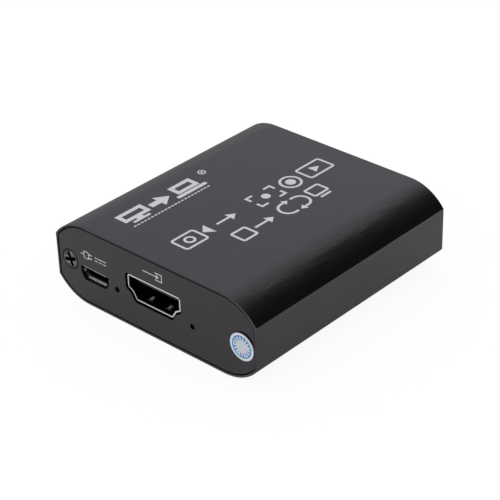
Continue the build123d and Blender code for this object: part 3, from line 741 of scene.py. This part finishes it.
def bold_row(ink):
    """Screen on its foot, arrow and open computer, in heavy strokes."""
    heavy = 1.05
    screen, computer = -19.3, -4.1
    screen_middle, screen_height = 3.1, 3.6
    ink.bar(screen, screen_middle, 7.4, screen_height, stroke=heavy)
    ink.bar(screen, 1.0, 1.8, 0.6)
    ink.bar(screen, 0.35, 4.8, 0.7)
    ink.arrow(-14.7, 2.5, length=5.7, head=4.4, stroke=1.5 * heavy)
    ink.bar(computer, screen_middle, 6.4, screen_height, stroke=heavy)
    ink.bar(computer, 0.5, 8.8, 1.0, corner=0.3)


def fine_row(ink):
    """Even row of small dashes."""
    for dash in range(23):
        ink.bar(-22.6 + dash, 0.5, length=0.7, height=0.38)


def small_ring(ink):
    """Ring with a dot in it."""
    ink.disc(3, 1, radius=0.95, stroke=0.3)
    ink.disc(3, 1, radius=0.32)


def camera_row(ink):
    """Camera and arrow, then a viewfinder, a record mark and a screen with a play mark."""
    line = 0.58
    middle, height = 2.65, 5.3
    camera, finder, record, play = -19.3, 4.0, 12.0, 20.0
    ink.bar(camera, middle, 6.8, height, corner=0.9, stroke=line)
    ink.disc(camera, middle, 1.35, stroke=line)
    ink.wedge(-13.4, middle, length=2.1, height=4.0, turn=180)
    ink.arrow(-11.3, middle, length=5.8, head=2.8, stroke=line)
    for side in (-1, 1):
        for level in (-1, 1):
            ink.bar(finder + side * 2.9, middle + level * 2.36, 2.2, line)
            ink.bar(finder + side * 3.71, middle + level * 1.42, line, 1.3)
    ink.disc(finder, middle, 1.05)
    ink.disc(record, middle, height / 2, stroke=line)
    ink.disc(record, middle, 1.2)
    ink.bar(play, middle, 8.0, height, corner=0.8, stroke=line)
    ink.wedge(play - 0.9, middle, length=2.3, height=2.6)


def loop_row(ink):
    """Box and arrow, then a closed loop of two arrows and a small screen on its foot."""
    line = 0.6
    middle, bend = 2.6, 2.2
    screen = 12.8
    ink.bar(-10.5, middle, 4.6, 4.4, corner=0.7, stroke=line)
    ink.arrow(-7.2, middle, length=5.7, head=2.6, stroke=line)
    for way, centre in ((1, 3.2), (-1, 7.0)):
        start = 180 - 90 * way
        head, tail = middle + way * bend, middle - way * bend
        ink.arc(centre, middle, bend, line, start, start + 180)
        ink.bar(centre + way * 0.45, head, 0.9, line)
        ink.wedge(centre + way * 0.9, head, length=1.3, height=2.0, turn=90 - 90 * way)
        ink.bar(centre + way * 0.4, tail, 0.8, line)
    ink.bar(screen, 3.1, 4.8, 3.8, corner=0.7, stroke=line)
    ink.bar(screen, 0.38, 3.2, line)


top_print("top_print_bold", -12.6, bold_row)
top_print("top_print_fine", -11.1, fine_row)
top_print("top_print_ring", -16.0, small_ring)
top_print("top_print_camera", 3.5, camera_row)
top_print("top_print_loop", 10.5, loop_row)


# The end plates, punched from aluminium sheet, anodised black and printed with small signs over the
# sockets. Each is screwed into a rebate of the sleeve. Both have painted shade along their lower rim. The
# front one has painted light on its right edge, a painted highlight line and glint spot at the power opening,
# and a curved band of painted shadow over the seal.

front_level = -29.9 * mm
crescent_x, crescent_z = 25.1 * mm, 9.55 * mm
crescent_edge = (2.7 * mm, 2.8 * mm)
right_side, right_edge_light_x = 27 * mm, 27.74 * mm
right_rows = (3.2 * mm, 4.2 * mm, 13 * mm, 14.5 * mm)
seam_width = (0.8 * mm, 0.85 * mm)
line_x, line_z = -17.1 * mm, 9.36 * mm
line_half_width = (3.2 * mm, 3.6 * mm)
line_half_height = (0.03 * mm, 0.08 * mm)
glint_x, glint_z = -12.83 * mm, 8.5 * mm
glint_radius = (0.1 * mm, 0.24 * mm)
plate_skin = Finish("black_anodised_plate", IOR=1.5)
x, y, z = plate_skin.axes()
plate_grain = plate_skin.noise(0.16 * mm, detail=3, rough=0.6)
plate_cloud = plate_skin.noise(5 * mm, detail=3)
front_end = y < 0

# A curved band of painted shadow above the seal, cut from a disc round (25.1, 9.55) mm.
shadow_disc = 1 - slant(plate_skin, x - crescent_x, z - crescent_z).fade(*crescent_edge)
seal_crescent_shadow = front_end * shadow_disc * z.fade(9.8 * mm, 10.8 * mm)
right_flat = front_end * (x > right_side) * z.band(*right_rows)
# Painted shade in a band along the plates' rim below 9 mm, except on the front's right flat.
near_rim = 1 - wall_depth(plate_skin, x, z).fade(*seam_width)
lower_seam_shade = near_rim * (z < 9 * mm) * (1 - right_flat)
in_shade = plate_skin.maths("MAXIMUM", seal_crescent_shadow, lower_seam_shade)
# The plate's outer edge on the front's right flat is painted paler as light.
right_edge_light = (x > right_edge_light_x) * right_flat

# A painted highlight in a thin line along the top of the power opening and a painted glint spot at its right
# end.
line_highlight = (1 - abs(z - line_z).fade(*line_half_height)) * (1 - abs(x - line_x).fade(*line_half_width))
glint_spot = 1 - slant(plate_skin, x - glint_x, z - glint_z).fade(*glint_radius)
plate_highlights = (y < front_level) * (line_highlight + glint_spot)
plate_colour = plate_skin.mix(black_dye, worn_dye, 0.5 * plate_grain + 0.5 * plate_cloud)
plate_colour = plate_skin.mix(plate_colour, grey(0.12), right_edge_light)
plate_colour = plate_skin.mix(plate_colour, grey(0.5, 0.02), plate_highlights)
plate_colour = plate_skin.mix(plate_colour, deep_shade, in_shade)
plate_skin.paint(plate_colour, 0.26 + 0.1 * plate_grain + 0.05 * plate_cloud, metallic=in_shade)
plate_skin.bump(plate_grain, 0.006 * mm)
plate_skin.on("front_plate", "rear_plate")

plate_out = 29.94
sign_line = 0.2
video_sign_foot = 14.45
power_sign_foot = 11.35


def plate_print(name, ink, side, foot):
    """Print on the front plate at side -1 or the rear plate at side 1. foot is its line's height, in mm."""
    place = face_plane((0, side * plate_out, foot), (-side, 0, 0), (0, side, 0))
    ink.done(name, place, ink_thickness, pale_ink, "plate_black")


def power_sign(ink, middle):
    """Plug on its lead, then a long stroke over three short ones, for steady current."""
    plug_middle = 1.05
    strokes = middle + 2.1
    ink.bar(middle - 3.4, plug_middle, 0.9, sign_line)
    ink.bar(middle - 2.15, plug_middle, 1.6, 1.8, corner=0.3, stroke=sign_line)
    for level in (0.6, 1.5):
        ink.bar(middle - 0.9, level, 0.9, 0.26)
    ink.bar(strokes, 1.45, 3.4, sign_line)
    for step in (-1, 0, 1):
        ink.bar(strokes + 1.25 * step, 0.7, 0.9, sign_line)


def port_sign(ink, middle, inwards):
    """Open frame with an arrow that goes into it or comes out of it."""
    sign_middle = 0.97
    ink.bar(middle + 2.65, sign_middle, sign_line, 2 * sign_middle)
    for level in (0.15, 1.79):
        ink.bar(middle + 1.65, level, 1.8, sign_line)
    tail, turn = (middle - 2.7, 0) if inwards else (middle + 1.9, 180)
    ink.arrow(tail, sign_middle, length=4.6, head=1.15, stroke=sign_line, turn=turn)


power_ink = Ink()
power_sign(power_ink, -17.2)
plate_print("front_print_power", power_ink, -1, power_sign_foot)
input_ink = Ink()
port_sign(input_ink, 0.3, inwards=True)
plate_print("front_print_input", input_ink, -1, video_sign_foot)
rear_ink = Ink()
loop_low, loop_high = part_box("loop_shell")
data_low, data_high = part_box("data_shell")
data_middle = -(data_low.x + data_high.x) / 2 / mm
port_sign(rear_ink, -(loop_low.x + loop_high.x) / 2 / mm, inwards=False)
rear_ink.bar(data_middle, 1.15, 2.6, 1.6, corner=0.25, stroke=sign_line)
rear_ink.bar(data_middle, 0.15, 3.6, sign_line)
plate_print("rear_print", rear_ink, 1, video_sign_foot)


# The four screws, black coated steel with cross recesses, driven into the sleeve's bosses. Paler grey
# patches of painted highlight lie on the heads; the recesses, the grooves round the heads and the edges of
# the front left screw's cross are painted shade.

screw_x = 24.5 * mm
head_level = (29.8 * mm, 29.88 * mm)
highlight_radius = (1.8 * mm, 2.05 * mm)
groove_radii = (1.96 * mm, 2.04 * mm, 2.26 * mm, 2.34 * mm)
recess_turn = math.radians(18)
recess_radius = (1.65 * mm, 1.75 * mm)
slot_half_width = (0.4 * mm, 0.5 * mm)
screw_coat = Finish("black_coated_steel", IOR=1.6)
x, y, z = screw_coat.axes()
up = z - middle_height
from_axis = slant(screw_coat, abs(x) - screw_x, up)
head_face = abs(y).fade(*head_level)
# Paler grey patches on the head face are painted highlight.
patch_noise = screw_coat.noise(0.9 * mm, detail=3, rough=0.6)
head_highlight_patches = patch_noise.fade(0.46, 0.6) * head_face * (1 - from_axis.fade(*highlight_radius))
# A patchy dark ring in the groove round each head is painted shade.
patchy = screw_coat.noise(2.6 * mm, detail=1).fade(0.24, 0.4)
groove_shade = head_face * patchy * from_axis.band(*groove_radii)

# Dark borders along the front left screw's cross are painted shade.
first_slot = (x + screw_x) * math.cos(recess_turn) + up * math.sin(recess_turn)
second_slot = up * math.cos(recess_turn) - (x + screw_x) * math.sin(recess_turn)
slot_shade = 1 - screw_coat.maths("MINIMUM", abs(first_slot), abs(second_slot)).fade(*slot_half_width)
slot_shade = slot_shade * (1 - from_axis.fade(*recess_radius)) * (x < 0) * (y < 0)
in_shade = screw_coat.maths("MAXIMUM", 1 - head_face * (1 - groove_shade), slot_shade)
coat_colour = screw_coat.mix(screw_coat.mix(grey(0.008), grey(0.2), head_highlight_patches), deep_shade, in_shade)
screw_coat.paint(coat_colour, 0.3 + 0.2 * screw_coat.noise(0.2 * mm), metallic=in_shade)
screw_coat.bump(patch_noise, 0.01 * mm)
screw_coat.on("front_screws", "rear_screws")


# The seal over one screw, a disc of printed film, stuck on after the box is closed. Its pale rim
# holds a blue ring with even rays that fade towards a plain middle, rosier on its right, with pearly tints;
# the pearly and rosy tints are painted sheen.

ray_count = 17
ray_start = (1.25 * mm, 1.75 * mm)
band_start = (1 * mm, 2.2 * mm)
ring_radii = (2.28 * mm, 2.34 * mm, 2.5 * mm, 2.56 * mm)
rim_start = (2.52 * mm, 2.6 * mm)
ray_blue = (0.06, 0.18, 0.44, 1)
ring_blue = (0.04, 0.16, 0.36, 1)
film = Finish("printed_seal_film", Coat_Roughness=0.15)
seal_low, seal_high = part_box("seal_sticker")
x, _, z = film.axes(centre=((seal_low.x + seal_high.x) / 2, 0, (seal_low.z + seal_high.z) / 2))
radius = slant(film, x, z)
angle = film.maths("ARCTAN2", z, x)
ray = film.maths("SINE", angle * ray_count).fade(-0.2, 0.5)
ray = ray * radius.fade(*ray_start) * film.noise(1.1 * mm, detail=1).fade(0.25, 0.5)
rayed_band = radius.fade(*band_start)
ring = radius.band(*ring_radii)
sheen = film.noise(2.2 * mm, detail=1).fade(0.35, 0.65)
# Painted sheen: the middle turns rosier towards the right.
pink_sheen = 0.6 * x.fade(0, 1 * mm) + 0.4 * sheen
middle_colour = film.mix((0.62, 0.72, 0.72, 1), (0.8, 0.62, 0.72, 1), pink_sheen)
band_colour = film.mix((0.5, 0.8, 0.95, 1), (0.66, 0.74, 0.98, 1), sheen)
rim_pearl = film.mix((0.7, 0.84, 0.9, 1), (0.82, 0.8, 0.92, 1), sheen)
film_colour = film.mix(film.mix(middle_colour, band_colour, rayed_band), ray_blue, ray)
film_colour = film.mix(film_colour, rim_pearl, radius.fade(*rim_start))
film_colour = film.mix(film_colour, ring_blue, ring)
film.paint(film_colour, 0.35 + 0.1 * sheen, coat=0.3 * (1 - 0.5 * rayed_band))
film.on("seal_sticker")


# The table, the light tent round it and the camera: a pale matt top under plain soft light, with a
# dark cloth hung behind on the right and a dimmer left end, which only the gloss of the box mirrors.

class Surround(Finish):
    """The world's surface."""

    def __init__(self, world):
        world.use_nodes = True
        self.tree = world.node_tree
        self.tree.nodes.clear()


white = (1, 1, 1, 1)
black = (0, 0, 0, 1)
mirrored_paper = (1.0, 0.9, 1.04, 1)
mirrored_tent = (1.0, 0.955, 1.045, 1)
glow_level = 1.05
plain_light = 0.7
table_radius = 3.0
table = bmesh.new()
bmesh.ops.create_circle(table, cap_ends=True, segments=64, radius=table_radius)
table_data = bpy.data.meshes.new("table_top")
table.to_mesh(table_data)
table.free()
table_top = bpy.data.objects.new("table_top", table_data)
bpy.context.scene.collection.objects.link(table_top)

table_paper = Finish("pale_table_paper", Roughness=0.9, Specular_IOR_Level=0.0)
table_paper.paint(table_paper.mix(grey(0.84), grey(0.87), table_paper.noise(20 * mm)))
seen = table_paper.node("LightPath", output="Is Camera Ray")
seen = seen + table_paper.node("LightPath", output="Is Transmission Ray")
mirrored = table_paper.node("LightPath", output="Is Glossy Ray")
x, y, _ = table_paper.axes()
left_back = (0.62 * y - 0.74 * x).fade(10 * mm, 45 * mm)
glow_share = 0.88 * seen + mirrored * (0.36 + 0.16 * left_back)
glow_colour = table_paper.mix(white, mirrored_paper, mirrored)
glow_colour = table_paper.mix(glow_colour, black, mirrored * left_back)
glow = table_paper.node("Emission", inputs={"Color": glow_colour, "Strength": glow_level})
paper = Value(table_paper, table_paper.shader.outputs[0])
shown = table_paper.node("MixShader", inputs={0: glow_share, 1: paper, 2: glow})
table_paper.join(shown, table_paper.tree.nodes["Material Output"].inputs["Surface"])
table_paper.on(table_top)

cloth_way = Vector((0.62, 0.63, 0.47)).normalized()
left_way = Vector((-0.8, 0.6, 0.0)).normalized()
world = bpy.data.worlds.new("light_tent")
bpy.context.scene.world = world
tent = Surround(world)
direction = tent.node("TexCoord", output="Generated")


def towards(way, edge, full):
    """0 further than edge degrees from a way into the tent, and 1 within full degrees of it."""
    operation = {"operation": "DOT_PRODUCT"}
    facing = tent.node("VectorMath", operation, {0: direction, 1: tuple(way)}, output="Value")
    return facing.fade(math.cos(math.radians(edge)), math.cos(math.radians(full)))


cloth = 0.83 * towards(cloth_way, 52, 30) + 0.17 * towards(cloth_way, 30, 3)
left_end = (1 - 0.3 * towards(left_way, 40, 12)) * (1 - 0.35 * towards(left_way, 15, 3))
mirrored = tent.node("LightPath", output="Is Glossy Ray")
strength = plain_light + mirrored * ((1 - 0.98 * cloth) * left_end - plain_light)
strength = strength + tent.node("LightPath", output="Is Camera Ray") * (1.0 - strength)
tent_tint = tent.mix(white, mirrored_tent, mirrored)
tent_light = tent.node("Background", inputs={"Color": tent_tint, "Strength": strength})
tent.join(tent_light, tent.tree.nodes.new("ShaderNodeOutputWorld").inputs["Surface"])

for name, place, size, power in (
    ("soft_box_left", Vector((-0.75, 0.35, 0.75)), 0.8, 1.6),
    ("soft_box_front", Vector((-0.1, -0.9, 0.8)), 0.7, 1.2),
):
    lamp = bpy.data.lights.new(name, "AREA")
    lamp.shape = "SQUARE"
    lamp.size = size
    lamp.energy = power
    soft_box = bpy.data.objects.new(name, lamp)
    soft_box.location = place
    soft_box.rotation_euler = (-place).to_track_quat("-Z", "Y").to_euler()
    soft_box.visible_glossy = False
    bpy.context.scene.collection.objects.link(soft_box)

camera_place = Vector((215.617, -231.116, 199.010)) * mm
camera_turn = (58.7322, 1.5305, 42.1509)
focal_length = 124.0
lens_data = bpy.data.cameras.new("camera")
lens_data.sensor_width = 36
lens_data.lens = focal_length
lens_data.clip_start = 0.01
lens_data.clip_end = 20
camera = bpy.data.objects.new("camera", lens_data)
camera.location = camera_place
camera.rotation_euler = Euler([math.radians(turn) for turn in camera_turn])
bpy.context.scene.collection.objects.link(camera)
bpy.context.scene.camera = camera
bpy.context.scene.view_settings.view_transform = "Standard"
